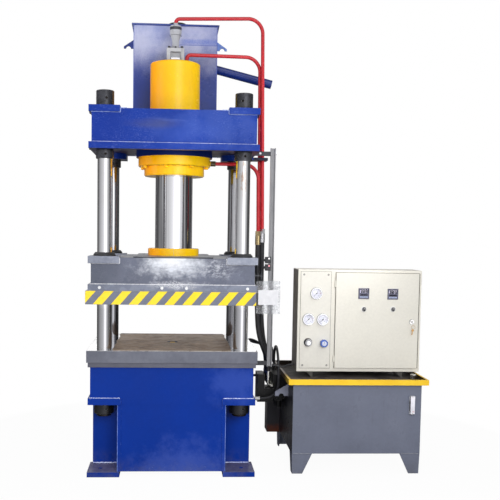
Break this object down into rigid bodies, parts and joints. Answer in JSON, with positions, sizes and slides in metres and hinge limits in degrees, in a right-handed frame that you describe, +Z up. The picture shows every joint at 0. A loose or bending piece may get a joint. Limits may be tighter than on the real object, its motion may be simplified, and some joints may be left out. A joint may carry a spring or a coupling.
{
  "type": "hydraulic press",
  "caption": "Four-column hydraulic press with a moving platen, a bed with an ejector, a top oil tank and a separate oil and control unit.",
  "frame": {"origin": "centre of the foundation bolt pattern on the floor, under the ram axis", "axes": "+Z up along the ram axis, +X right towards the power unit, +Y to the back"},
  "size_m": [2.267, 0.9162, 3.0644],
  "materials": {
    "press_blue": "semi-gloss enamel",
    "seat_grey": "semi-gloss enamel",
    "table_steel": "ground, oiled, lightly rusted",
    "column_chrome": "ground and chromed",
    "nut_black": "blackened",
    "cylinder_yellow": "gloss enamel",
    "slider_grey": "semi-gloss enamel",
    "hazard_paint": "yellow with black hazard stripes",
    "bronze": "machined",
    "brass_tip": "turned",
    "black_rubber": "smooth",
    "red_paint": "gloss enamel",
    "plated_steel": "zinc plated",
    "valve_grey": "enamel",
    "rail_grey": "drawn",
    "switch_black": "moulded",
    "tank_grey": "enamel",
    "tray_yellow": "enamel outside, bare and oiled inside",
    "cabinet_beige": "textured powder coat",
    "meter_black": "moulded, with a display window",
    "gauge_case": "plated case, white dial",
    "needle_black": "painted",
    "knob_blue": "moulded",
    "knob_silver": "turned, dark insert",
    "pouch_clear": "clear film with a blank card",
    "motor_grey": "enamel",
    "pump_iron": "cast, painted",
    "gauge_glass": "tube in a metal frame"
  },
  "bodies": {
    "root": {"bed_frame": "press_blue", "bed_seat_plate": "seat_grey", "table_plate": "table_steel", "guide_columns": "column_chrome", "column_foot_nuts": "nut_black", "crown_nuts": "nut_black", "crown_frame": "press_blue", "cylinder_barrel": "cylinder_yellow", "cylinder_flange_ring": "cylinder_yellow", "gland_ring": "cylinder_yellow", "gland_bolts": "nut_black", "filling_valve_block": "valve_grey", "filling_valve_body": "valve_grey", "top_tank": "press_blue", "top_tank_lid": "press_blue", "pilot_pipe": "red_paint", "pressure_pipe": "red_paint", "return_pipe": "red_paint", "pipe_unions": "plated_steel", "limit_rail": "rail_grey", "limit_switches": "switch_black", "ejector_cylinder": "plated_steel", "oil_tank": "tank_grey", "drip_tray": "tray_yellow", "cabinet_shell": "cabinet_beige", "gauge_panel": "cabinet_beige", "pressure_gauges": "gauge_case", "mounting_plate": "plated_steel", "level_gauge": "gauge_glass", "filler_breather": "plated_steel", "motor": "motor_grey", "pump": "pump_iron", "valve_manifold": "valve_grey", "hose_elbows": "plated_steel", "return_hose": "black_rubber", "pilot_hose": "black_rubber", "pressure_hose": "black_rubber", "ejector_hose_lower": "black_rubber", "ejector_hose_upper": "black_rubber", "switch_cable": "black_rubber"},
    "ram": {"piston_rod": "column_chrome", "rod_clamp_ring": "cylinder_yellow", "slider_frame": "slider_grey", "slider_bushes": "bronze", "slider_wipers": "black_rubber", "upper_platen": "hazard_paint", "platen_bolts": "plated_steel", "card_pouch": "pouch_clear", "striker_arm": "plated_steel"},
    "ejector": {"ejector_rod": "brass_tip"},
    "door": {"cabinet_door": "cabinet_beige", "panel_meters": "meter_black"},
    "selector_l": {"selector_left": "switch_black"},
    "selector_r": {"selector_right": "switch_black"},
    "key": {"door_lock_key": "plated_steel"},
    "throttle": {"throttle_knob": "knob_silver"},
    "regulator": {"pressure_knob": "knob_blue"},
    "needle_t": {"needle_top": "needle_black"},
    "needle_l": {"needle_left": "needle_black"},
    "needle_r": {"needle_right": "needle_black"}
  },
  "joints": [
    {"name": "ram_slide", "type": "slide", "parent": "root", "child": "ram", "axis": [0, 0, 1], "range_m": [-0.05, 0.45]},
    {"name": "ejector_slide", "type": "slide", "parent": "root", "child": "ejector", "axis": [0, 0, 1], "range_m": [0, 0.2]},
    {"name": "door_hinge", "type": "hinge", "parent": "root", "child": "door", "pos_m": [1.1087, -0.1458, 1], "axis": [0, 0, -1], "range_deg": [0, 110]},
    {"name": "selector_left_turn", "type": "hinge", "parent": "door", "child": "selector_l", "pos_m": [1.3086, -0.1533, 1.0805], "axis": [0, 1, 0], "range_deg": [-45, 45]},
    {"name": "selector_right_turn", "type": "hinge", "parent": "door", "child": "selector_r", "pos_m": [1.5106, -0.1533, 1.0817], "axis": [0, 1, 0], "range_deg": [-45, 45]},
    {"name": "key_turn", "type": "hinge", "parent": "door", "child": "key", "pos_m": [1.645, -0.1533, 0.995], "axis": [0, -1, 0], "range_deg": [0, 90]},
    {"name": "throttle_turn", "type": "hinge", "parent": "root", "child": "throttle", "pos_m": [0.9295, -0.15, 0.8474], "axis": [0, 1, 0], "range_deg": [0, 720]},
    {"name": "regulator_turn", "type": "hinge", "parent": "root", "child": "regulator", "pos_m": [1.0363, -0.15, 0.8433], "axis": [0, 1, 0], "range_deg": [0, 540]},
    {"name": "needle_top_turn", "type": "hinge", "parent": "root", "child": "needle_t", "pos_m": [0.9804, -0.147, 1.184], "axis": [0, 1, 0], "range_deg": [0, 270], "stiffness_Nm_per_rad": 0.004},
    {"name": "needle_left_turn", "type": "hinge", "parent": "root", "child": "needle_l", "pos_m": [0.9294, -0.147, 1.006], "axis": [0, 1, 0], "range_deg": [0, 270], "stiffness_Nm_per_rad": 0.004},
    {"name": "needle_right_turn", "type": "hinge", "parent": "root", "child": "needle_r", "pos_m": [1.0276, -0.147, 1.005], "axis": [0, 1, 0], "range_deg": [0, 270], "stiffness_Nm_per_rad": 0.004}
  ]
}
